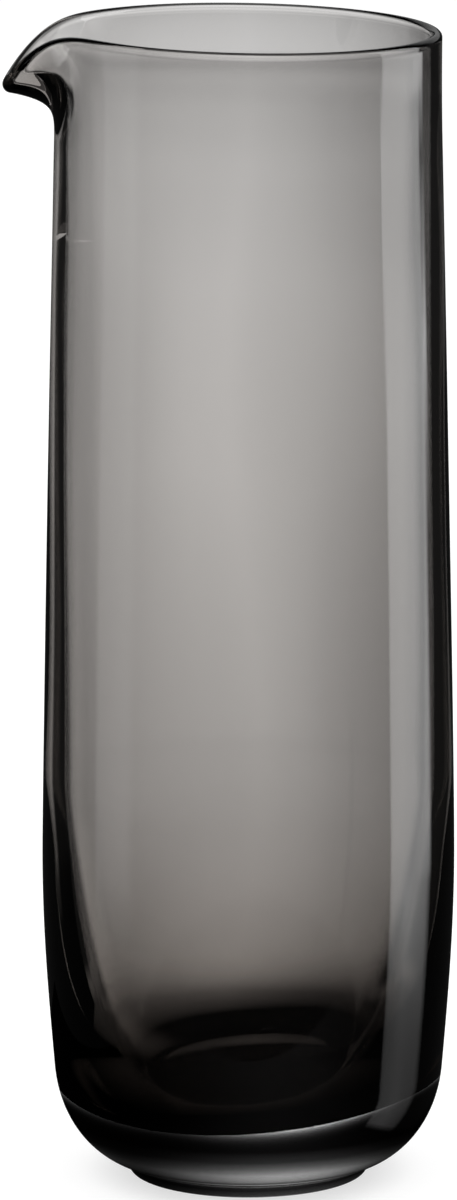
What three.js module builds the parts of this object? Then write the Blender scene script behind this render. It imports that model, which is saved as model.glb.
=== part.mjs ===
// A carafe blown in one piece of smoked glass, with a heavy base and a pouring lip pulled out of the rim.
// Millimetres and degrees. It stands on z = 0, its axis is Z and it pours towards -X.
import * as THREE from "three";

// Heights above the table
const rimHeight = 250;
const collarDepth = 24; // straight collar below the rim, out of which the lip is pulled
const bowlHeight = 88; // the bore narrows below this
const bellyHeight = 70; // the widest ring
const heelHeight = 26; // centre of the round between the side and the foot
const floorHeight = 18.3; // inside floor, on the axis
const footHeight = 3;

// Widths
const rimDiameter = 82.4;
const collarDiameter = 82.7; // at the foot of the collar
const bellyDiameter = 89;
const heelDiameter = 84.3;
const footDiameter = 51; // where the foot's flank meets the table
const footEdge = 0.7; // round along the foot's lower edge
const rimWall = 2.4;
const boreDiameter = 79.8; // at the top of the bowl
const floorDiameter = 48;
const floorCorner = 1.7; // round between the floor and the bowl

// Curves of the outline
const heelWidth = 18; // half axes of the heel's oval round
const heelRise = 23.4;
const sideLean = 4.9; // of the side as it leaves the heel
const lowerSideHandle = 17;
const bellyHandle = 16;
const collarHandle = 46;
const collarLean = 1.37; // of the side as it reaches the collar
const bowlTopHandle = 24;
const bowlFootHandle = 7;
const bowlFootLean = 34; // of the bowl as it reaches the floor, from level

// Pouring lip, measured along the middle of the wall
const lipReach = 12.2; // how far the tip stands out from the collar
const lipHalfWidth = 12.4;
const lipDip = 12; // how far the tip lies below the rim
const dipHalfWidth = 9.5;
const lipPoint = 1.75; // 2 gives a round lip, 1 a pointed one
const reachGrowth = 3; // powers by which reach and dip grow from the collar's foot to the rim
const dipGrowth = 1.4;

// The leanings of a hand-made piece
const rimSlope = 1.1; // the rim stands higher on the lip's side
const floorSlope = 4; // the inside floor lies lower on the lip's side

// Facets
const facetsRound = 64;
const facetsPerCurve = 5;
const collarRows = 7;

const collarFoot = rimHeight - collarDepth;
const rimMiddle = (rimDiameter - rimWall) / 2;
const tangent = (degrees) => Math.tan(THREE.MathUtils.degToRad(degrees));

// Half of the cross-section: from the middle of the underside up the outside, over the rim, down the inside.
function outline() {
  const path = new THREE.Path();
  const foot = footDiameter / 2;
  path.moveTo(0, 0);
  path.lineTo(foot - footEdge, 0);
  path.quadraticCurveTo(foot, 0, foot + footEdge / 2, footEdge);

  const heelCentre = heelDiameter / 2 - heelWidth;
  const heelStart = -Math.asin((heelHeight - footHeight) / heelRise);
  const heelEnd = -Math.atan((tangent(sideLean) * heelRise) / heelWidth);
  path.absellipse(heelCentre, heelHeight, heelWidth, heelRise, heelStart, heelEnd, false);

  const hip = path.currentPoint.clone();
  const belly = bellyDiameter / 2;
  path.bezierCurveTo(
    hip.x + lowerSideHandle * tangent(sideLean),
    hip.y + lowerSideHandle,
    belly,
    bellyHeight - bellyHandle,
    belly,
    bellyHeight,
  );
  const collar = collarDiameter / 2;
  path.bezierCurveTo(
    belly,
    bellyHeight + bellyHandle,
    collar + collarHandle * tangent(collarLean),
    collarFoot - collarHandle,
    collar,
    collarFoot,
  );

  const rimCentre = rimHeight - rimWall / 2;
  const rimInside = rimMiddle - rimWall / 2;
  for (let row = 1; row <= collarRows; row++) {
    const share = row / collarRows;
    path.lineTo(
      THREE.MathUtils.lerp(collar, rimDiameter / 2, share),
      THREE.MathUtils.lerp(collarFoot, rimCentre, share),
    );
  }
  path.absarc(rimMiddle, rimCentre, rimWall / 2, 0, Math.PI, false);
  const bore = boreDiameter / 2;
  const boreLean = (bore - rimInside) / (rimCentre - bowlHeight);
  for (let row = collarRows - 1; row >= 0; row--) {
    const height = THREE.MathUtils.lerp(collarFoot, rimCentre, row / collarRows);
    path.lineTo(rimInside + boreLean * (rimCentre - height), height);
  }
  path.lineTo(bore, bowlHeight);

  const floorEdge = floorDiameter / 2;
  const cornerRise = floorCorner * tangent(bowlFootLean / 2);
  path.bezierCurveTo(
    bore,
    bowlHeight - bowlTopHandle,
    floorEdge + bowlFootHandle / tangent(bowlFootLean),
    floorHeight + cornerRise + bowlFootHandle,
    floorEdge,
    floorHeight + cornerRise,
  );
  path.quadraticCurveTo(
    floorEdge - cornerRise / tangent(bowlFootLean),
    floorHeight,
    floorEdge - floorCorner * 2,
    floorHeight,
  );
  path.lineTo(0, floorHeight);
  return path.getPoints(facetsPerCurve);
}

// Bell-shaped share of the pull at a distance round the rim from the lip's middle.
function bell(distance, halfWidth) {
  return Math.exp(-((Math.abs(distance) / halfWidth) ** lipPoint));
}

// Middle of the collar's wall after the pull.
// The angle is from -X, and rise goes from 0 at the collar's foot to 1 at the rim.
function pulledWall(angle, rise) {
  const round = angle * rimMiddle;
  const radius = rimMiddle + lipReach * bell(round, lipHalfWidth) * rise ** reachGrowth;
  const dip = lipDip * bell(round, dipHalfWidth) * rise ** dipGrowth;
  return new THREE.Vector3(
    -radius * Math.cos(angle),
    radius * Math.sin(angle),
    collarFoot + collarDepth * rise - dip,
  );
}

// Moves a point of the collar with its wall, at the same distance from the middle of the wall.
function pullLip(point) {
  const rise = (point.z - collarFoot) / collarDepth;
  if (rise <= 0) return;
  const angle = Math.atan2(point.y, -point.x);
  const step = 1e-4;
  const along = pulledWall(angle + step, rise).sub(pulledWall(angle - step, rise));
  const up = pulledWall(angle, rise + step).sub(pulledWall(angle, Math.max(rise - step, 0)));
  const outward = up.cross(along).normalize();
  const offset = Math.hypot(point.x, point.y) - rimMiddle;
  point.copy(pulledWall(angle, rise)).addScaledVector(outward, offset);
}

// Tilts the rim up towards the lip, fading out down to the belly.
function tiltRim(point) {
  const share = Math.max(0, (point.z - bellyHeight) / (rimHeight - bellyHeight));
  point.z -= point.x * tangent(rimSlope) * share ** 2;
}

// Tilts the inside floor down towards the lip, fading out up to the top of the bowl.
function tiltFloor(point) {
  const inBowl = point.z >= floorHeight && point.z < bowlHeight;
  if (!inBowl || Math.hypot(point.x, point.y) > boreDiameter / 2) return;
  const share = (bowlHeight - point.z) / (bowlHeight - floorHeight);
  point.z += point.x * tangent(floorSlope) * share ** 2;
}

function vessel() {
  const shape = new THREE.LatheGeometry(outline(), facetsRound);
  shape.rotateX(Math.PI / 2);
  const vertices = shape.getAttribute("position");
  const point = new THREE.Vector3();
  for (let i = 0; i < vertices.count; i++) {
    point.fromBufferAttribute(vertices, i);
    tiltFloor(point);
    pullLip(point);
    tiltRim(point);
    vertices.setXYZ(i, point.x, point.y, point.z);
  }
  shape.computeVertexNormals();
  return shape;
}

const smokedGlass = new THREE.MeshStandardMaterial({
  color: 0x8b8886,
  roughness: 0.04,
  metalness: 0,
});

const carafe = new THREE.Group();
const body = new THREE.Mesh(vessel(), smokedGlass);
body.name = "carafe_body";
carafe.add(body);

export default carafe;
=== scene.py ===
"""A carafe blown in one piece of smoked glass, on a pale studio floor.

The vessel is one surface of two parameters: the angle round the axis, and the way along half of the
cross-section, from the middle of the underside up the outside, over the rim and down the inside.
Sizes of the vessel and of what lies close to it are in millimetres and degrees. The floor, the lamps,
the camera and the meshes are in metres.
"""

from __future__ import annotations

import logging
from collections.abc import Iterable
from dataclasses import dataclass, field
from enum import Enum
from typing import Union

import bpy
import numpy as np
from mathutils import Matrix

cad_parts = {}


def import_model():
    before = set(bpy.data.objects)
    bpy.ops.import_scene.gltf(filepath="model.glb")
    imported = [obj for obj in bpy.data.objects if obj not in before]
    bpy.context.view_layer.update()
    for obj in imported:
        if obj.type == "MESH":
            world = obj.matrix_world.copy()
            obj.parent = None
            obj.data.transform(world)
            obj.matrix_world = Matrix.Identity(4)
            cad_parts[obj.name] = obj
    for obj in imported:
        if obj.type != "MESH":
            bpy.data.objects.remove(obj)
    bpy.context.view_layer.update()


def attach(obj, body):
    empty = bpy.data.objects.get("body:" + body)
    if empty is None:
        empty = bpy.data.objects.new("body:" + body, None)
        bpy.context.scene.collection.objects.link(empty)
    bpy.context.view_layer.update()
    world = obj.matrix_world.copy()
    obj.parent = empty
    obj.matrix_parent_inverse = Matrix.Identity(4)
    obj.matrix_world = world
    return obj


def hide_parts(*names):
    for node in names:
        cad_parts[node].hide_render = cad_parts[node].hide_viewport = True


LOG = logging.getLogger("carafe")
METRES = 0.001
FULL_TURN = 360.0
HALF_TURN = 180.0

# Places of the colour sockets on a Mix node.
MIX_SHARE = 0
MIX_LOW = 6
MIX_HIGH = 7
MIX_RESULT = 2

Array = np.ndarray
Socket = bpy.types.NodeSocket
Term = Union[Socket, float]
Point = tuple[float, float]
Place = tuple[float, float, float]
Colour = tuple[float, float, float]


class Side(Enum):
    """Which side of the vessel a studio light stands on, seen from the camera."""

    LEFT = -1.0
    RIGHT = 1.0


def tangent(degrees: float) -> float:
    """Tangent of an angle in degrees."""
    return float(np.tan(np.radians(degrees)))


def eased(share: Array) -> Array:
    """Soft step from 0 to 1: three times the square of the share less twice its cube."""
    return share * share * (3.0 - 2.0 * share)


def straight(start: Point, end: Point, steps: int) -> Array:
    """Even points along a straight line.

    Args:
        start: first point, as radius and height.
        end: last point.
        steps: number of intervals.

    Returns:
        Points of shape (steps + 1, 2).
    """
    share = np.linspace(0.0, 1.0, steps + 1)[:, None]
    return (1.0 - share) * np.array(start) + share * np.array(end)


def curve(handles: list[Point], steps: int) -> Array:
    """Bezier curve of any degree: the sum of its handles weighted by Bernstein polynomials.

    Args:
        handles: start point, handles and end point.
        steps: number of intervals.

    Returns:
        Points of shape (steps + 1, 2).
    """
    points = np.array(handles, dtype=float)[:, None, :]
    share = np.linspace(0.0, 1.0, steps + 1)[:, None]
    while len(points) > 1:
        points = (1.0 - share) * points[:-1] + share * points[1:]
    return points[0]


def oval(centre: Point, half_axes: Point, start: float, end: float, steps: int) -> Array:
    """Arc of an oval: the centre plus each half axis times the cosine or sine of the angle.

    Args:
        centre: centre of the oval.
        half_axes: half axes along radius and height.
        start: first angle in radians.
        end: last angle in radians.
        steps: number of intervals.

    Returns:
        Points of shape (steps + 1, 2).
    """
    angle = np.linspace(start, end, steps + 1)
    return np.array(centre) + np.array(half_axes) * np.stack([np.cos(angle), np.sin(angle)], axis=1)


@dataclass
class Outline:
    """Half of the vessel's cross-section: its sizes, and the intervals along each run of it."""

    rim_height: float = 250.0
    collar_depth: float = 24.0
    bowl_height: float = 88.0
    belly_height: float = 70.0
    heel_height: float = 26.0
    floor_height: float = 18.3
    foot_height: float = 3.0
    rim_diameter: float = 82.4
    collar_diameter: float = 82.7
    belly_diameter: float = 89.0
    heel_diameter: float = 84.3
    foot_diameter: float = 51.0
    foot_edge: float = 0.7
    rim_wall: float = 2.4
    bore_diameter: float = 79.8
    floor_diameter: float = 48.0
    floor_corner: float = 1.7
    heel_width: float = 18.0
    heel_rise: float = 23.4
    side_lean: float = 4.9
    lower_side_handle: float = 17.0
    belly_handle: float = 16.0
    collar_handle: float = 46.0
    collar_lean: float = 1.37
    bowl_top_handle: float = 24.0
    bowl_foot_handle: float = 7.0
    bowl_foot_lean: float = 34.0
    underside_steps: int = 8
    edge_steps: int = 6
    flank_steps: int = 4
    heel_steps: int = 48
    lower_side_steps: int = 24
    upper_side_steps: int = 48
    collar_steps: int = 26
    rim_steps: int = 14
    bore_steps: int = 30
    bowl_steps: int = 48
    corner_steps: int = 10
    floor_steps: int = 8

    @property
    def collar_foot(self) -> float:
        """Height of the collar's foot."""
        return self.rim_height - self.collar_depth

    @property
    def rim_middle(self) -> float:
        """Radius of the middle of the wall at the rim."""
        return (self.rim_diameter - self.rim_wall) / 2.0

    def outside(self) -> Array:
        """The way from the middle of the underside to the outer edge of the rim.

        Flat underside, rounded foot edge, conical foot, oval heel, two side curves and the collar.

        Returns:
            Points of shape (n, 2), as radius and height.
        """
        foot = self.foot_diameter / 2.0
        edge = self.foot_edge
        heel_centre = (self.heel_diameter / 2.0 - self.heel_width, self.heel_height)
        heel_axes = (self.heel_width, self.heel_rise)
        heel_start = -np.arcsin((self.heel_height - self.foot_height) / self.heel_rise)
        heel_end = -np.arctan(tangent(self.side_lean) * self.heel_rise / self.heel_width)
        heel = oval(heel_centre, heel_axes, heel_start, heel_end, self.heel_steps)
        hip = (float(heel[-1, 0]), float(heel[-1, 1]))
        belly = self.belly_diameter / 2.0
        collar = self.collar_diameter / 2.0
        lower_side = [
            hip,
            (hip[0] + self.lower_side_handle * tangent(self.side_lean), hip[1] + self.lower_side_handle),
            (belly, self.belly_height - self.belly_handle),
            (belly, self.belly_height),
        ]
        upper_side = [
            (belly, self.belly_height),
            (belly, self.belly_height + self.belly_handle),
            (collar + self.collar_handle * tangent(self.collar_lean), self.collar_foot - self.collar_handle),
            (collar, self.collar_foot),
        ]
        rim_edge = (self.rim_diameter / 2.0, self.rim_height - self.rim_wall / 2.0)
        half_rise = (rim_edge[1] - self.collar_foot) / 2.0
        collar_side = [
            (collar, self.collar_foot),
            (collar - half_rise * tangent(self.collar_lean), self.collar_foot + half_rise),
            rim_edge,
        ]
        flank_foot = (foot + edge / 2.0, edge)
        flank_top = (float(heel[0, 0]), float(heel[0, 1]))
        runs = [
            straight((0.0, 0.0), (foot - edge, 0.0), self.underside_steps),
            curve([(foot - edge, 0.0), (foot, 0.0), flank_foot], self.edge_steps),
            straight(flank_foot, flank_top, self.flank_steps),
            heel,
            curve(lower_side, self.lower_side_steps),
            curve(upper_side, self.upper_side_steps),
            curve(collar_side, self.collar_steps),
        ]
        return self.joined(runs)

    def rim(self) -> Array:
        """Half round from the outer to the inner edge of the rim."""
        half = self.rim_wall / 2.0
        return oval((self.rim_middle, self.rim_height - half), (half, half), 0.0, np.pi, self.rim_steps)

    def inside(self) -> Array:
        """The way from the inner edge of the rim down the bore and the bowl to the middle of the floor.

        Straight bore, one bowl curve, a rounded corner and the flat floor.

        Returns:
            Points of shape (n, 2), as radius and height.
        """
        start = (self.rim_middle - self.rim_wall / 2.0, self.rim_height - self.rim_wall / 2.0)
        bore = (self.bore_diameter / 2.0, self.bowl_height)
        share = (start[1] - self.collar_foot) / (start[1] - bore[1])
        collar = (start[0] + share * (bore[0] - start[0]), self.collar_foot)
        edge = self.floor_diameter / 2.0
        rise = self.floor_corner * tangent(self.bowl_foot_lean / 2.0)
        run = 1.0 / tangent(self.bowl_foot_lean)
        corner = (edge, self.floor_height + rise)
        bowl = [
            bore,
            (bore[0], bore[1] - self.bowl_top_handle),
            (edge + self.bowl_foot_handle * run, corner[1] + self.bowl_foot_handle),
            corner,
        ]
        flat = (edge - 2.0 * self.floor_corner, self.floor_height)
        runs = [
            straight(start, collar, self.collar_steps),
            straight(collar, bore, self.bore_steps),
            curve(bowl, self.bowl_steps),
            curve([corner, (edge - rise * run, self.floor_height), flat], self.corner_steps),
            straight(flat, (0.0, self.floor_height), self.floor_steps),
        ]
        return self.joined(runs)

    @staticmethod
    def joined(runs: list[Array]) -> Array:
        """Runs end to end, each without the point that it shares with the run before it."""
        return np.concatenate([runs[0]] + [run[1:] for run in runs[1:]])


@dataclass
class PouringLip:
    """The lip pulled out of the collar towards -X, given by the middle of the wall.

    The middle of the wall moves out by the reach and down by the dip. Each is a bell over the distance
    round the rim times a power of the rise, which goes from 0 at the collar's foot to 1 at the rim.
    The wall is thicker inside the lip's root and fuller outside its edge.
    """

    outline: Outline
    reach: float = 12.25
    half_width: float = 12.4
    dip: float = 12.6
    dip_half_width: float = 8.9
    point: float = 1.75
    reach_growth: float = 3.0
    dip_growth: float = 1.4
    root_half_width: float = 8.0
    root_rise: float = 0.66
    root_half_height: float = 0.34
    root_depth: float = 2.2
    swell: float = 0.7
    swell_growth: float = 1.5
    nudge: float = 0.0001

    def fullness(self, angle: Array, rise: Array) -> Array:
        """Extra glass outside the lip: the reach's bell times a power of the rise."""
        bell = self.bell(angle * self.outline.rim_middle, self.half_width)
        return self.swell * bell * rise**self.swell_growth

    def root(self, angle: Array, rise: Array) -> Array:
        """Extra glass inside the lip's root: a bell round the rim times a bell up the wall.

        Args:
            angle: angle round the axis from -X, in radians.
            rise: 0 at the collar's foot to 1 at the rim.

        Returns:
            Thickness to add.
        """
        off_round = angle * self.outline.rim_middle / self.root_half_width
        off_up = (rise - self.root_rise) / self.root_half_height
        return self.root_depth * np.exp(-(off_round**2) - off_up**2)

    def bell(self, distance: Array, half_width: float) -> Array:
        """Share of the pull at a distance round the rim: exp of minus the distance ratio to a power."""
        return np.exp(-((np.abs(distance) / half_width) ** self.point))

    def wall(self, angle: Array, rise: Array) -> Array:
        """Middle of the pulled wall.

        Args:
            angle: angle round the axis from -X, in radians.
            rise: 0 at the collar's foot to 1 at the rim.

        Returns:
            Points with a last axis of x, y and z.
        """
        outline = self.outline
        distance = angle * outline.rim_middle
        reach = self.reach * self.bell(distance, self.half_width) * rise**self.reach_growth
        dip = self.dip * self.bell(distance, self.dip_half_width) * rise**self.dip_growth
        radius = outline.rim_middle + reach
        height = outline.collar_foot + outline.collar_depth * rise - dip
        return np.stack([-radius * np.cos(angle), -radius * np.sin(angle), height], axis=-1)

    def pull(self, angle: Array, radius: Array, height: Array) -> Array:
        """Carries points of the collar with its wall, each at its own distance from the middle.

        Args:
            angle: angle round the axis from -X, in radians.
            radius: distance from the axis before the pull.
            height: height before the pull.

        Returns:
            Points after the pull, with a last axis of x, y and z.
        """
        still = np.stack([-radius * np.cos(angle), -radius * np.sin(angle), height], axis=-1)
        rise = np.clip((height - self.outline.collar_foot) / self.outline.collar_depth, 0.0, None)
        along = self.wall(angle + self.nudge, rise) - self.wall(angle - self.nudge, rise)
        up = self.wall(angle, rise + self.nudge) - self.wall(angle, np.clip(rise - self.nudge, 0.0, None))
        outward = np.cross(along, up)
        outward /= np.linalg.norm(outward, axis=-1, keepdims=True)
        offset = radius - self.outline.rim_middle
        half_wall = self.outline.rim_wall / 2.0
        inner = np.clip(-offset / half_wall, 0.0, 1.0)
        outer = np.clip(offset / half_wall, 0.0, 1.0)
        offset = offset - inner * self.root(angle, rise) + outer * self.fullness(angle, rise)
        pulled = self.wall(angle, rise) + outward * offset[..., None]
        return np.where((rise > 0.0)[..., None], pulled, still)


@dataclass
class HandWork:
    """What the maker's hand leaves: a sloping rim and floor, and slow waves in the walls.

    Each wave is a sine, given by its size, its turns round the axis, its climb up the wall and its start.
    """

    outline: Outline
    rim_slope: float = 1.1
    floor_slope: float = 4.0
    outer_wave: float = 0.035
    inner_wave: float = 0.11
    sines: tuple[tuple[float, float, float, float], ...] = (
        (1.0, 2.0, 1.3, 0.4),
        (0.6, 3.0, -2.1, 2.0),
        (0.5, 5.0, 3.7, 1.1),
        (0.4, 1.0, 5.3, 0.0),
    )
    wave_height: float = 100.0
    fade_foot: float = 30.0
    fade_in: float = 40.0
    fade_out: float = 30.0

    def waves(self, angle: Array, height: Array, inner: Array) -> Array:
        """Change of radius from slow waves round and up the walls, none at the foot, floor or rim.

        The sum of a few sines of the angle and the height, faded in above the foot and out at the collar.

        Args:
            angle: angle round the axis, in radians.
            height: height above the table.
            inner: True where the point is on the inside.

        Returns:
            Change of radius.
        """
        up = height / self.wave_height
        waves = [
            part * np.sin(turns * angle + climb * up + start)
            for part, turns, climb, start in self.sines
        ]
        low = np.clip((height - self.fade_foot) / self.fade_in, 0.0, 1.0)
        high = np.clip((self.outline.collar_foot - height) / self.fade_out, 0.0, 1.0)
        size = np.where(inner, self.inner_wave, self.outer_wave)
        return size * eased(low) * eased(high) * sum(waves)

    def floor_lift(self, along: Array, height: Array, inner: Array) -> Array:
        """Rise of the inside floor away from the lip, fading out up to the top of the bowl.

        Args:
            along: place along X.
            height: height above the table.
            inner: True where the point is on the inside.

        Returns:
            Change of height.
        """
        depth = self.outline.bowl_height - self.outline.floor_height
        share = np.clip((self.outline.bowl_height - height) / depth, 0.0, 1.0)
        return np.where(inner, along * tangent(self.floor_slope) * share**2, 0.0)

    def rim_lift(self, along: Array, height: Array) -> Array:
        """Rise of the rim towards the lip, fading out down to the belly.

        Args:
            along: place along X.
            height: height above the table.

        Returns:
            Change of height.
        """
        low = self.outline.belly_height
        share = np.clip((height - low) / (self.outline.rim_height - low), 0.0, None)
        return -along * tangent(self.rim_slope) * share**2


class NodeSheet:
    """Short way to place and join the nodes of one node tree."""

    def __init__(self, tree: bpy.types.NodeTree) -> None:
        """Empties the tree and keeps it."""
        self.tree = tree
        tree.nodes.clear()

    def add(self, kind: str, **settings: object) -> bpy.types.Node:
        """Adds a node and sets its properties.

        Args:
            kind: node type.
            settings: properties of the node.

        Returns:
            The new node.
        """
        node = self.tree.nodes.new(kind)
        for name, value in settings.items():
            setattr(node, name, value)
        return node

    def join(self, source: Socket, target: Socket) -> None:
        """Links one socket to another."""
        self.tree.links.new(source, target)

    def sum_of(self, operation: str, *terms: Term) -> Socket:
        """A Math node on sockets and numbers.

        Args:
            operation: the node's operation.
            terms: sockets to link or numbers to set.

        Returns:
            The node's output socket.
        """
        node = self.add("ShaderNodeMath", operation=operation)
        for place, term in enumerate(terms):
            if isinstance(term, Socket):
                self.join(term, node.inputs[place])
            else:
                node.inputs[place].default_value = term
        return node.outputs[0]

    def product(self, colour: Socket, factor: Term) -> Socket:
        """A colour times a number or another colour.

        Args:
            colour: socket to multiply.
            factor: number, or socket of the other colour.

        Returns:
            The product's socket.
        """
        whole = not isinstance(factor, Socket)
        node = self.add("ShaderNodeVectorMath", operation="SCALE" if whole else "MULTIPLY")
        self.join(colour, node.inputs[0])
        if whole:
            node.inputs["Scale"].default_value = factor
        else:
            self.join(factor, node.inputs[1])
        return node.outputs[0]

    def ramp(self, source: Socket, stops: list[Point], ease: bool = True) -> Socket:
        """A grey ramp.

        Args:
            source: socket that gives the place, from 0 to 1.
            stops: places and grey values.
            ease: True for soft steps, False for straight ones.

        Returns:
            The ramp's colour socket.
        """
        node = self.add("ShaderNodeValToRGB")
        bar = node.color_ramp
        bar.interpolation = "EASE" if ease else "LINEAR"
        while len(bar.elements) > 1:
            bar.elements.remove(bar.elements[-1])
        for index, (place, grey) in enumerate(stops):
            mark = bar.elements[0] if index == 0 else bar.elements.new(place)
            mark.position = place
            mark.color = (grey, grey, grey, 1.0)
        self.join(source, node.inputs[0])
        return node.outputs[0]

    def between(self, share: Term, low: Term, high: Term) -> Socket:
        """A colour mix from low to high by a share.

        Args:
            share: socket or number from 0 to 1.
            low: socket or grey value at 0.
            high: socket or grey value at 1.

        Returns:
            The mixed colour socket.
        """
        node = self.add("ShaderNodeMix", data_type="RGBA", clamp_factor=True)
        for place, term in ((MIX_SHARE, share), (MIX_LOW, low), (MIX_HIGH, high)):
            if isinstance(term, Socket):
                self.join(term, node.inputs[place])
            elif place == MIX_SHARE:
                node.inputs[place].default_value = term
            else:
                node.inputs[place].default_value = (term, term, term, 1.0)
        return node.outputs[MIX_RESULT]


def blank_material(name: str) -> tuple[bpy.types.Material, NodeSheet]:
    """A new material and its empty nodes.

    Args:
        name: name of the material.

    Returns:
        The material, and the sheet of its nodes.
    """
    material = bpy.data.materials.new(name)
    material.use_nodes = True
    return material, NodeSheet(material.node_tree)


@dataclass(frozen=True)
class SmokedGlass:
    """Polished grey glass that darkens with its thickness, with the faint unevenness of blown glass."""

    name: str = "smoked_glass"
    surface: Colour = (1.0, 1.0, 1.0)
    index: float = 1.51
    tint: Colour = (0.18, 0.12, 0.07)
    strength: float = 100.0
    polish: float = 0.004
    handled: float = 0.01
    smear_scale: float = 38.0
    smear_detail: float = 5.0
    smear_range: Point = (0.45, 0.75)
    ripple: float = 0.03
    ripple_depth: float = 0.002
    ripple_scale: float = 22.0
    ripple_detail: float = 1.0

    def material(self) -> bpy.types.Material:
        """Transmitting shader with absorption, uneven polish and shallow ripples.

        Returns:
            The material.
        """
        material, sheet = blank_material(self.name)
        place = sheet.add("ShaderNodeTexCoord").outputs["Object"]
        shader = sheet.add("ShaderNodeBsdfPrincipled")
        shader.inputs["Base Color"].default_value = (*self.surface, 1.0)
        shader.inputs["Metallic"].default_value = 0.0
        shader.inputs["IOR"].default_value = self.index
        shader.inputs["Transmission Weight"].default_value = 1.0

        smear = sheet.add("ShaderNodeTexNoise")
        smear.inputs["Scale"].default_value = self.smear_scale
        smear.inputs["Detail"].default_value = self.smear_detail
        sheet.join(place, smear.inputs["Vector"])
        patch = sheet.add("ShaderNodeMapRange")
        patch.inputs["From Min"].default_value = self.smear_range[0]
        patch.inputs["From Max"].default_value = self.smear_range[1]
        patch.inputs["To Min"].default_value = self.polish
        patch.inputs["To Max"].default_value = self.handled
        sheet.join(smear.outputs["Fac"], patch.inputs["Value"])
        sheet.join(patch.outputs["Result"], shader.inputs["Roughness"])

        swell = sheet.add("ShaderNodeTexNoise")
        swell.inputs["Scale"].default_value = self.ripple_scale
        swell.inputs["Detail"].default_value = self.ripple_detail
        sheet.join(place, swell.inputs["Vector"])
        bump = sheet.add("ShaderNodeBump")
        bump.inputs["Strength"].default_value = self.ripple
        bump.inputs["Distance"].default_value = self.ripple_depth
        sheet.join(swell.outputs["Fac"], bump.inputs["Height"])
        sheet.join(bump.outputs["Normal"], shader.inputs["Normal"])

        smoke = sheet.add("ShaderNodeVolumeAbsorption")
        smoke.inputs["Color"].default_value = (*self.tint, 1.0)
        smoke.inputs["Density"].default_value = self.strength
        output = sheet.add("ShaderNodeOutputMaterial")
        sheet.join(shader.outputs[0], output.inputs["Surface"])
        sheet.join(smoke.outputs[0], output.inputs["Volume"])
        return material


@dataclass
class CarafeBody:
    """The vessel: one closed surface of glass."""

    outline: Outline = field(default_factory=Outline)
    glass: SmokedGlass = field(default_factory=SmokedGlass)
    columns: int = 232
    crowding: float = 0.45
    still_radius: float = 1.0

    def surface(self) -> tuple[Array, Array]:
        """Points of the vessel by way along the cross-section and angle round the axis.

        The angle is u - c sin(u) of an even u, which crowds the columns round the lip. Each point is the
        outline's radius and height, with the floor's slope, the waves, the lip's pull and the rim's slope.

        Returns:
            Points of the two poles, of shape (2, 3), and of the rows between, of shape (rows, columns, 3).
        """
        outside, rim, inside = self.outline.outside(), self.outline.rim(), self.outline.inside()
        way = Outline.joined([outside, rim, inside])
        inner = np.arange(len(way)) >= len(outside) + len(rim) - 2
        even = np.linspace(0.0, 2.0 * np.pi, self.columns, endpoint=False)
        angle = even - self.crowding * np.sin(even)
        angle = np.where(angle > np.pi, angle - 2.0 * np.pi, angle)
        radius, angle = np.meshgrid(way[:, 0], angle, indexing="ij")
        height = np.broadcast_to(way[:, 1:2], radius.shape)
        inner = np.broadcast_to(inner[:, None], radius.shape)
        hand = HandWork(self.outline)
        radius = radius + hand.waves(angle, height, inner) * (radius > self.still_radius)
        height = height + hand.floor_lift(-radius * np.cos(angle), height, inner)
        points = PouringLip(self.outline).pull(angle, radius, height)
        points[..., 2] += hand.rim_lift(points[..., 0], points[..., 2])
        points *= METRES
        poles = np.stack([points[0, 0], points[-1, 0]])
        return poles, points[1:-1]

    def mesh(self) -> bpy.types.Mesh:
        """The surface as a closed mesh: four-sided faces between rows, and a fan at each pole.

        Returns:
            The mesh, with its faces pointing outwards.
        """
        poles, rows = self.surface()
        count, columns = rows.shape[:2]
        vertices = np.concatenate([rows.reshape(-1, 3), poles])
        index = np.arange(count * columns).reshape(count, columns)
        after = np.roll(index, -1, axis=1)
        sides = np.stack([index[:-1], after[:-1], after[1:], index[1:]], axis=-1).reshape(-1, 4)
        low = np.full(columns, count * columns)
        high = low + 1
        under = np.stack([low, after[0], index[0]], axis=-1)
        over = np.stack([high, index[-1], after[-1]], axis=-1)
        mesh = bpy.data.meshes.new("carafe_glass")
        mesh.from_pydata(vertices.tolist(), [], sides.tolist() + under.tolist() + over.tolist())
        mesh.polygons.foreach_set("use_smooth", np.ones(len(mesh.polygons), dtype=bool))
        mesh.update()
        return mesh

    def build(self) -> bpy.types.Object:
        """Makes the vessel, dresses it and puts it in the frame.

        Returns:
            The vessel's object.
        """
        vessel = bpy.data.objects.new("carafe_glass", self.mesh())
        bpy.context.scene.collection.objects.link(vessel)
        vessel.data.materials.append(self.glass.material())
        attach(vessel, "root")
        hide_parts("carafe_body")
        return vessel


def flat_piece(name: str, places: list[Place], material: bpy.types.Material) -> bpy.types.Object:
    """A flat piece with four corners.

    Args:
        name: name of the piece.
        places: its corners in order, in metres.
        material: its finish.

    Returns:
        The piece's object.
    """
    mesh = bpy.data.meshes.new(name)
    mesh.from_pydata(places, [], [(0, 1, 2, 3)])
    mesh.materials.append(material)
    piece = bpy.data.objects.new(name, mesh)
    bpy.context.scene.collection.objects.link(piece)
    return piece


def level_square(half: float, level: float) -> list[Place]:
    """Corners of a level square round the axis."""
    return [(-half, -half, level), (half, -half, level), (half, half, level), (-half, half, level)]


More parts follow.
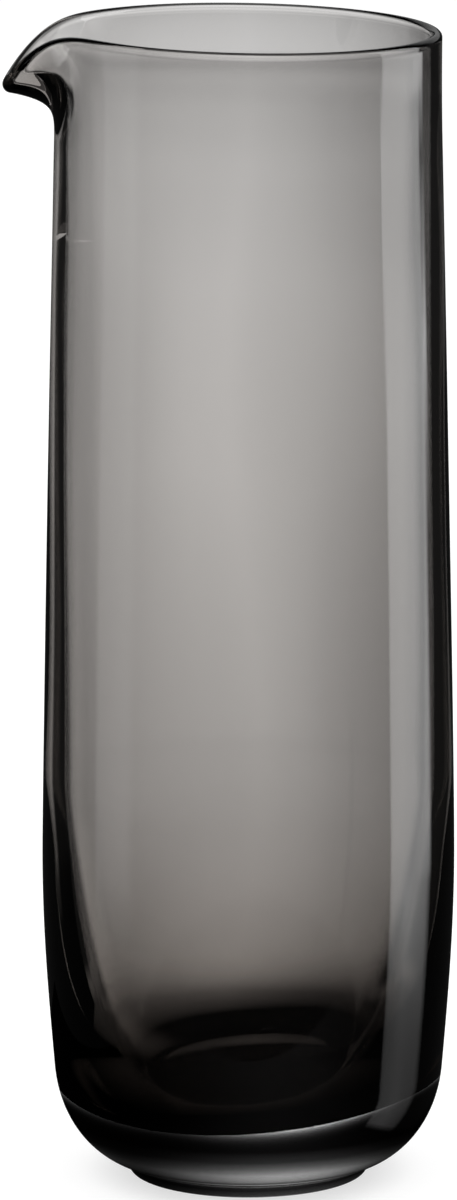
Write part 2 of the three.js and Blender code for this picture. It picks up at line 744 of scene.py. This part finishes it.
@dataclass
class StudioFloor:
    """A wide pale floor that takes the vessel's shadow."""

    half_side: float = 6.0
    drop: float = 0.0004
    colour: Colour = (0.45, 0.45, 0.45)
    lift: float = 0.68

    def material(self) -> bpy.types.Material:
        """Matt white that is lifted to the white of the background where the camera sees it.

        Returns:
            The material.
        """
        material, sheet = blank_material("studio_floor")
        matt = sheet.add("ShaderNodeBsdfDiffuse")
        matt.inputs["Color"].default_value = (*self.colour, 1.0)
        glow = sheet.add("ShaderNodeEmission")
        seen = sheet.add("ShaderNodeLightPath").outputs["Is Camera Ray"]
        sheet.join(sheet.sum_of("MULTIPLY", seen, self.lift), glow.inputs["Strength"])
        both = sheet.add("ShaderNodeAddShader")
        sheet.join(matt.outputs[0], both.inputs[0])
        sheet.join(glow.outputs[0], both.inputs[1])
        output = sheet.add("ShaderNodeOutputMaterial")
        sheet.join(both.outputs[0], output.inputs["Surface"])
        return material

    def build(self) -> bpy.types.Object:
        """Makes the floor as a stage piece that glass looks past, to the studio behind it.

        Returns:
            The floor's object.
        """
        floor = flat_piece("studio_floor", level_square(self.half_side, -self.drop), self.material())
        floor.visible_glossy = False
        floor.visible_transmission = False
        return floor


@dataclass(frozen=True)
class LightCard:
    """A soft light that gloss shows: its brightness by bearing and by elevation, in degrees."""

    across: tuple[Point, ...]
    up: tuple[Point, ...]
    strength: float


@dataclass
class StudioSurround:
    """The studio round the vessel: a white field behind it, dark cards at its sides and soft lights.

    Directions are bearings from straight behind the vessel, to the right, and elevations above level.
    Each list holds places in degrees and brightness there. Only narrowing holds factors instead, which
    stretch the bearings to the right by elevation. The light cards are a tall strip on the right in four
    heights, a faint card behind the vessel above the rim, and a strip on the left.
    """

    ambient: float = 0.62
    field_round: tuple[Point, ...] = (
        (-60.0, 0.8), (-50.0, 0.02), (-23.5, 0.02), (-19.0, 0.84), (-15.0, 0.73), (-11.0, 0.6),
        (-8.0, 0.62), (-4.0, 0.76), (-1.0, 0.95), (0.3, 0.98), (2.5, 0.72), (3.6, 0.63), (6.0, 0.52),
        (9.0, 0.44), (11.5, 0.34), (14.5, 0.02), (58.0, 0.02), (68.0, 0.8),
    )
    field_up: tuple[Point, ...] = (
        (-31.0, 0.94), (-25.0, 0.95), (-21.0, 0.88), (-17.0, 0.78), (-13.5, 0.78), (-11.5, 0.92),
        (-10.3, 0.87), (-9.0, 0.7), (-8.5, 0.665), (-8.1, 0.645), (-7.8, 0.7), (-7.6, 0.71), (-7.2, 0.66),
        (-7.0, 0.59), (-6.0, 0.6), (-2.0, 0.95),
    )
    field_span: Point = (-32.0, 0.0)
    narrowing: tuple[Point, ...] = (
        (-24.0, 0.75), (-14.0, 1.0), (-11.0, 1.25), (-9.5, 1.6), (-8.2, 1.7), (-7.9, 1.2), (-5.0, 1.0),
        (-1.0, 0.5),
    )
    narrowing_reach: float = 9.0
    field_reach: tuple[Point, ...] = ((-38.0, 0.0), (-32.0, 1.0), (0.5, 1.0), (4.0, 0.0))
    beyond_up: tuple[Point, ...] = (
        (-66.0, 0.25), (-58.0, 0.1), (-38.0, 0.1), (-32.0, 0.8), (0.5, 0.8), (4.0, 0.04), (60.0, 0.04),
    )
    cards: tuple[LightCard, ...] = (
        LightCard(
            across=((57.5, 0.0), (59.5, 1.0), (72.0, 1.0), (94.6, 0.97), (95.6, 0.0)),
            up=((-8.1, 0.0), (-7.45, 1.0), (30.0, 1.0), (45.0, 0.0)),
            strength=2.2,
        ),
        LightCard(
            across=((52.5, 0.0), (54.5, 1.0), (72.0, 1.0), (92.6, 0.93), (93.6, 0.0)),
            up=((-9.4, 0.0), (-8.6, 1.0), (-8.1, 1.0), (-7.45, 0.0)),
            strength=2.7,
        ),
        LightCard(
            across=((55.5, 0.0), (58.5, 0.8), (72.0, 0.97), (84.0, 1.0), (92.6, 0.96), (93.6, 0.0)),
            up=((-13.5, 0.0), (-11.7, 1.0), (-9.4, 1.0), (-8.6, 0.0)),
            strength=2.6,
        ),
        LightCard(
            across=((56.5, 0.0), (62.0, 0.42), (70.0, 0.64), (80.0, 1.0), (92.6, 0.88), (93.6, 0.0)),
            up=(
                (-48.0, 0.0), (-42.0, 0.18), (-20.0, 0.18), (-18.5, 0.27), (-16.3, 0.62), (-14.0, 0.95),
                (-13.5, 0.98), (-11.7, 0.0),
            ),
            strength=2.8,
        ),
        LightCard(
            across=((-40.0, 0.0), (-25.0, 1.0), (30.0, 1.0), (45.0, 0.0)),
            up=((4.0, 0.0), (7.0, 1.0), (25.0, 1.0), (32.0, 0.0)),
            strength=0.3,
        ),
        LightCard(
            across=((-114.0, 0.0), (-108.0, 1.0), (-87.0, 1.0), (-84.0, 0.0)),
            up=((-17.0, 0.0), (-12.5, 1.0), (30.0, 1.0), (45.0, 0.0)),
            strength=0.55,
        ),
    )
    unlit: float = 0.01

    def stops(self, marks: tuple[Point, ...], span: float) -> list[Point]:
        """Marks in degrees as ramp places over a span of degrees centred on 0."""
        return [(mark / span + 0.5, grey) for mark, grey in marks]

    def with_card(
        self, sheet: NodeSheet, card: LightCard, bearing: Socket, rise: Socket, light: Term
    ) -> Socket:
        """Light with that of a card added.

        Args:
            sheet: the world's nodes.
            card: the card to add.
            bearing: bearing as a ramp place.
            rise: elevation as a ramp place.
            light: socket or number to add it to.

        Returns:
            Socket of the sum.
        """
        across = sheet.ramp(bearing, self.stops(card.across, FULL_TURN), ease=False)
        upward = sheet.ramp(rise, self.stops(card.up, HALF_TURN), ease=False)
        shown = sheet.sum_of("MULTIPLY", across, upward)
        return sheet.sum_of("MULTIPLY_ADD", shown, card.strength, light)

    def through(self, sheet: NodeSheet, bearing: Socket, rise: Socket) -> Socket:
        """What light through the glass comes from: the white field and its dark cards.

        Args:
            sheet: the world's nodes.
            bearing: bearing as a ramp place.
            rise: elevation as a ramp place.

        Returns:
            Colour socket.
        """
        wide = max(factor for _, factor in self.narrowing)
        shares = tuple((at, factor / wide) for at, factor in self.narrowing)
        factor = sheet.sum_of("MULTIPLY", sheet.ramp(rise, self.stops(shares, HALF_TURN), ease=False), wide)
        to_right = sheet.sum_of("MAXIMUM", sheet.sum_of("SUBTRACT", bearing, 0.5), 0.0)
        to_right = sheet.sum_of("MINIMUM", to_right, self.narrowing_reach / FULL_TURN)
        narrowed = sheet.sum_of("MULTIPLY_ADD", to_right, sheet.sum_of("SUBTRACT", factor, 1.0), bearing)
        across = sheet.ramp(narrowed, self.stops(self.field_round, FULL_TURN), ease=False)
        low, high = self.field_span
        span = high - low
        place = sheet.sum_of("MULTIPLY_ADD", rise, HALF_TURN / span, (-HALF_TURN / 2.0 - low) / span)
        marks = [((mark - low) / span, grey) for mark, grey in self.field_up]
        upward = sheet.ramp(place, marks, ease=False)
        lit = sheet.product(across, upward)
        reach = sheet.ramp(rise, self.stops(self.field_reach, HALF_TURN))
        beyond = sheet.ramp(rise, self.stops(self.beyond_up, HALF_TURN))
        return sheet.between(reach, beyond, lit)

    def mirrored(self, sheet: NodeSheet, bearing: Socket, rise: Socket) -> Term:
        """What gloss shows: the light cards, and the dark room.

        Args:
            sheet: the world's nodes.
            bearing: bearing as a ramp place.
            rise: elevation as a ramp place.

        Returns:
            Socket of the brightness.
        """
        light: Term = self.unlit
        for card in self.cards:
            light = self.with_card(sheet, card, bearing, rise, light)
        return light

    def build(self) -> bpy.types.World:
        """Makes the world: white to the camera, the field to light through glass, lights in gloss.

        Returns:
            The world.
        """
        world = bpy.data.worlds.new("studio_surround")
        world.use_nodes = True
        sheet = NodeSheet(world.node_tree)
        split = sheet.add("ShaderNodeSeparateXYZ")
        sheet.join(sheet.add("ShaderNodeTexCoord").outputs["Generated"], split.inputs[0])
        x, y, z = split.outputs
        turn = 1.0 / (2.0 * np.pi)
        bearing = sheet.sum_of("MULTIPLY_ADD", sheet.sum_of("ARCTAN2", x, y), turn, 0.5)
        rise = sheet.sum_of("MULTIPLY_ADD", sheet.sum_of("ARCSINE", z), 2.0 * turn, 0.5)
        path = sheet.add("ShaderNodeLightPath").outputs
        seen = sheet.between(path["Is Glossy Ray"], self.ambient, self.mirrored(sheet, bearing, rise))
        seen = sheet.between(path["Is Transmission Ray"], seen, self.through(sheet, bearing, rise))
        seen = sheet.between(path["Is Camera Ray"], seen, 1.0)
        back = sheet.add("ShaderNodeBackground")
        sheet.join(seen, back.inputs["Color"])
        output = sheet.add("ShaderNodeOutputWorld")
        sheet.join(back.outputs[0], output.inputs["Surface"])
        bpy.context.scene.world = world
        return world


@dataclass
class TableLight:
    """Shade and light on the table round the foot, which only the glass shows.

    The table is dark under the vessel. Gloss also shows the light that the glass throws there: a glow round
    the foot, and a thin bright ring with a sharp outer edge. Light through the glass shows a faint spill
    behind the foot. Sizes are in millimetres and headings in degrees from the front.
    """

    half_side: float = 125.0
    drop: float = 0.2
    shade_centre: Point = (2.0, 25.0)
    shade_axes: Point = (54.5, 65.5)
    shade: tuple[Point, ...] = (
        (0.78, 1.0), (0.9, 0.78), (1.0, 0.52), (1.1, 0.3), (1.2, 0.16), (1.32, 0.05), (1.45, 0.0),
    )
    glow: tuple[Point, ...] = (
        (25.5, 0.26), (27.0, 0.03), (29.0, 0.35), (33.0, 1.0), (37.0, 0.42), (40.0, 0.13), (46.0, 0.02),
    )
    glow_strength: float = 3.1
    glow_heading: float = 12.0
    glow_width: float = 31.0
    ring_centre: Point = (9.5, 14.2)
    ring_radius: float = 74.5
    ring_fade: float = 2.0
    ring_strength: float = 14.0
    ring_heading: float = 27.0
    ring_width: float = 27.0
    spill_centre: Point = (-38.0, 40.0)
    spill_radius: float = 22.0
    spill_strength: float = 0.12
    dim: float = 0.012
    open_side: Point = (46.0, 54.0)

    def radius(
        self, sheet: NodeSheet, x: Socket, y: Socket, centre: Point, axes: Point = (1.0, 1.0)
    ) -> Socket:
        """Distance on the table from a centre, in millimetres or in the half axes of an oval.

        Args:
            sheet: the material's nodes.
            x: place along X, in metres.
            y: place along Y, in metres.
            centre: the centre, in millimetres.
            axes: half axes of the oval, in millimetres.

        Returns:
            Socket of the distance.
        """
        along = sheet.sum_of("MULTIPLY_ADD", x, 1.0 / METRES / axes[0], -centre[0] / axes[0])
        across = sheet.sum_of("MULTIPLY_ADD", y, 1.0 / METRES / axes[1], -centre[1] / axes[1])
        square = sheet.sum_of("MULTIPLY_ADD", along, along, sheet.sum_of("MULTIPLY", across, across))
        return sheet.sum_of("SQRT", square)

    def lobe(self, sheet: NodeSheet, heading: Socket, centre: float, width: float) -> Socket:
        """Share of the thrown light by heading: a bell round its centre over a dim floor.

        Args:
            sheet: the material's nodes.
            heading: heading from the front, in radians.
            centre: heading of the bell's middle, in degrees.
            width: width of the bell, in degrees.

        Returns:
            Socket of the share.
        """
        offset = sheet.sum_of("MULTIPLY_ADD", heading, float(np.degrees(1.0)) / width, -centre / width)
        square = sheet.sum_of("MULTIPLY", offset, offset)
        bell = sheet.sum_of("EXPONENT", sheet.sum_of("MULTIPLY", square, -1.0))
        return sheet.sum_of("MULTIPLY_ADD", bell, 1.0 - self.dim, self.dim)

    def material(self) -> bpy.types.Material:
        """Dark where the vessel shades the table, with the thrown light for gloss.

        Returns:
            The material.
        """
        material, sheet = blank_material("table_light")
        split = sheet.add("ShaderNodeSeparateXYZ")
        sheet.join(sheet.add("ShaderNodeTexCoord").outputs["Object"], split.inputs[0])
        x, y, _ = split.outputs
        span = self.half_side
        heading = sheet.sum_of("ARCTAN2", x, sheet.sum_of("MULTIPLY", y, -1.0))

        from_foot = sheet.sum_of("DIVIDE", self.radius(sheet, x, y, (0.0, 0.0)), span)
        glow = sheet.ramp(from_foot, [(at / span, grey) for at, grey in self.glow], ease=False)
        glow = sheet.sum_of("MULTIPLY", glow, self.lobe(sheet, heading, self.glow_heading, self.glow_width))
        inward = sheet.sum_of("SUBTRACT", self.ring_radius, self.radius(sheet, x, y, self.ring_centre))
        fade = sheet.sum_of("EXPONENT", sheet.sum_of("DIVIDE", inward, -self.ring_fade))
        ring = sheet.sum_of("MULTIPLY", fade, sheet.sum_of("GREATER_THAN", inward, 0.0))
        ring = sheet.sum_of("MULTIPLY", ring, self.lobe(sheet, heading, self.ring_heading, self.ring_width))
        glow = sheet.sum_of("MULTIPLY", glow, self.glow_strength)
        thrown = sheet.sum_of("MULTIPLY_ADD", ring, self.ring_strength, glow)

        path = sheet.add("ShaderNodeLightPath").outputs
        mirrored = sheet.sum_of("SUBTRACT", 1.0, path["Is Transmission Ray"])
        from_spill = sheet.sum_of("DIVIDE", self.radius(sheet, x, y, self.spill_centre), self.spill_radius)
        spill = sheet.ramp(from_spill, [(0.0, self.spill_strength), (1.0, 0.0)])
        light = sheet.add("ShaderNodeEmission")
        sheet.join(sheet.between(mirrored, spill, thrown), light.inputs["Strength"])
        from_shade = self.radius(sheet, x, y, self.shade_centre, self.shade_axes)
        wide = self.shade[-1][0]
        from_shade = sheet.sum_of("DIVIDE", from_shade, wide)
        cover = sheet.ramp(from_shade, [(at / wide, grey) for at, grey in self.shade], ease=False)
        open_side = [(self.open_side[0] / span, 1.0), (self.open_side[1] / span, 0.0)]
        closed = sheet.ramp(sheet.sum_of("DIVIDE", x, span * METRES), open_side)
        cover = sheet.sum_of("MAXIMUM", cover, sheet.sum_of("MULTIPLY", mirrored, closed))
        mix = sheet.add("ShaderNodeMixShader")
        sheet.join(cover, mix.inputs[0])
        sheet.join(sheet.add("ShaderNodeBsdfTransparent").outputs[0], mix.inputs[1])
        both = sheet.add("ShaderNodeAddShader")
        sheet.join(mix.outputs[0], both.inputs[0])
        sheet.join(light.outputs[0], both.inputs[1])
        output = sheet.add("ShaderNodeOutputMaterial")
        sheet.join(both.outputs[0], output.inputs["Surface"])
        return material

    def build(self) -> bpy.types.Object:
        """Makes a square just under the foot that only gloss and light through glass meet.

        Returns:
            The square's object.
        """
        square = level_square(self.half_side * METRES, -self.drop * METRES)
        table = flat_piece("table_light", square, self.material())
        table.visible_camera = False
        table.visible_diffuse = False
        table.visible_shadow = False
        table.visible_volume_scatter = False
        return table


@dataclass(frozen=True)
class NearCard:
    """A card close to the vessel, which only light through the glass meets.

    Its cover goes from clear at 0 to solid at 1, by the height above the table. Its corners and heights
    are in millimetres.
    """

    name: str
    corners: tuple[Place, ...]
    cover: tuple[Point, ...]
    light: float = 0.0

    @property
    def head(self) -> float:
        """Height of the card's top."""
        return max(corner[2] for corner in self.corners)

    def material(self) -> bpy.types.Material:
        """Black or white that thins out to clear.

        Returns:
            The material.
        """
        material, sheet = blank_material(self.name)
        split = sheet.add("ShaderNodeSeparateXYZ")
        sheet.join(sheet.add("ShaderNodeTexCoord").outputs["Object"], split.inputs[0])
        height = sheet.sum_of("DIVIDE", split.outputs[2], self.head * METRES)
        cover = sheet.ramp(height, [(at / self.head, grey) for at, grey in self.cover])
        face = sheet.add("ShaderNodeEmission")
        face.inputs["Strength"].default_value = self.light
        mix = sheet.add("ShaderNodeMixShader")
        sheet.join(cover, mix.inputs[0])
        sheet.join(sheet.add("ShaderNodeBsdfTransparent").outputs[0], mix.inputs[1])
        sheet.join(face.outputs[0], mix.inputs[2])
        output = sheet.add("ShaderNodeOutputMaterial")
        sheet.join(mix.outputs[0], output.inputs["Surface"])
        return material

    def build(self) -> bpy.types.Object:
        """Makes the card beside the vessel, out of sight of everything but light through the glass.

        Returns:
            The card's object.
        """
        card = flat_piece(self.name, (np.array(self.corners) * METRES).tolist(), self.material())
        card.visible_camera = False
        card.visible_diffuse = False
        card.visible_glossy = False
        card.visible_shadow = False
        card.visible_volume_scatter = False
        return card


# A flag that darkens the lower left edge, one that dims the glass under the near rim, one that
# dims the far wall by the lip, and a white card under the lip, which slopes with the line of sight.
NEAR_CARDS = (
    NearCard(
        name="edge_flag",
        corners=((-62.0, 6.0, 12.0), (-46.5, 6.0, 12.0), (-46.5, 6.0, 86.0), (-62.0, 6.0, 86.0)),
        cover=((46.0, 1.0), (56.0, 0.9), (66.0, 0.55), (84.0, 0.0)),
    ),
    NearCard(
        name="back_flag",
        corners=((-42.0, 45.0, 226.0), (42.0, 45.0, 226.0), (42.0, 45.0, 239.0), (-42.0, 45.0, 239.0)),
        cover=(
            (226.5, 0.0), (230.0, 0.03), (232.5, 0.08), (234.0, 0.13), (235.0, 0.18), (236.0, 0.25),
            (237.5, 0.25), (238.7, 0.0),
        ),
    ),
    NearCard(
        name="lip_flag",
        corners=((-60.0, 22.5, 241.5), (-39.0, 22.5, 241.5), (-36.0, 22.5, 248.2), (-60.0, 22.5, 256.0)),
        cover=((241.8, 0.0), (242.8, 0.2)),
    ),
    NearCard(
        name="lip_card",
        corners=((-60.0, 12.0, 201.5), (-41.5, 12.0, 201.5), (-37.0, 31.0, 198.5), (-60.0, 31.0, 198.5)),
        cover=((0.0, 1.0),),
        light=0.75,
    ),
)


@dataclass
class SoftBox:
    """A large soft lamp above and beside the vessel, a little towards the camera."""

    side: Side
    away: float = 0.9
    forward: float = 0.3
    height: float = 1.5
    aim: float = 0.1
    size: float = 1.1
    watts: float = 14.0

    def build(self) -> bpy.types.Object:
        """Makes the lamp, turned to the vessel, out of the camera's and the glass's sight.

        Returns:
            The lamp's object.
        """
        lamp = bpy.data.lights.new(f"soft_box_{self.side.name.lower()}", "AREA")
        lamp.energy = self.watts
        lamp.size = self.size
        box = bpy.data.objects.new(lamp.name, lamp)
        bpy.context.scene.collection.objects.link(box)
        box.location = (self.side.value * self.away, -self.forward, self.height)
        target = np.array([0.0, 0.0, self.aim]) - np.array(box.location)
        pan = np.arctan2(target[1], target[0]) - np.pi / 2.0
        tip = np.arctan2(np.hypot(target[0], target[1]), -target[2])
        box.rotation_euler = (float(tip), 0.0, float(pan))
        box.visible_camera = False
        box.visible_glossy = False
        box.visible_transmission = False
        return box


@dataclass
class PhotoCamera:
    """The camera at the photograph's place, with its long lens and framing."""

    away: float = 1.8708
    height: float = 0.5013
    aim: float = 0.125
    focal_pixels: float = 8875.0
    frame_pixels: float = 1200.0
    axis_right: float = 19.85
    aim_down: float = 4.88
    sensor: float = 36.0
    far_limit: float = 50.0

    def build(self) -> bpy.types.Object:
        """Makes the camera and gives it to the scene.

        Returns:
            The camera's object.
        """
        data = bpy.data.cameras.new("photo_camera")
        data.sensor_width = self.sensor
        data.lens = self.focal_pixels * data.sensor_width / self.frame_pixels
        data.shift_x = -self.axis_right / self.frame_pixels
        data.shift_y = self.aim_down / self.frame_pixels
        data.clip_end = self.far_limit
        camera = bpy.data.objects.new("photo_camera", data)
        bpy.context.scene.collection.objects.link(camera)
        camera.location = (0.0, -self.away, self.height)
        tip = np.pi / 2.0 - np.arctan2(self.height - self.aim, self.away)
        camera.rotation_euler = (float(tip), 0.0, 0.0)
        bpy.context.scene.camera = camera
        return camera


def corners(box: Iterable[Iterable[float]]) -> list[list[float]]:
    """A box's lowest and highest corners as plain lists."""
    return [[float(value) for value in corner] for corner in box]


def main() -> None:
    """Builds the camera, the vessel and the studio in order."""
    logging.basicConfig(level=logging.INFO, format="%(name)s: %(message)s")
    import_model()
    camera = PhotoCamera().build()
    LOG.info("camera %s with a %.0f mm lens", camera.name, camera.data.lens)
    vessel = CarafeBody().build()
    LOG.info("vessel %s with %d faces", vessel.name, len(vessel.data.polygons))
    floor = StudioFloor().build()
    LOG.info("floor %s", floor.name)
    table = TableLight().build()
    LOG.info("table light %s", table.name)
    for near in NEAR_CARDS:
        card = near.build()
        LOG.info("card %s", card.name)
    world = StudioSurround().build()
    LOG.info("surround %s", world.name)
    for side in Side:
        lamp = SoftBox(side).build()
        LOG.info("lamp %s of %.0f W", lamp.name, lamp.data.energy)
    bpy.context.scene.view_settings.view_transform = "Standard"


if __name__ == "__main__":
    main()
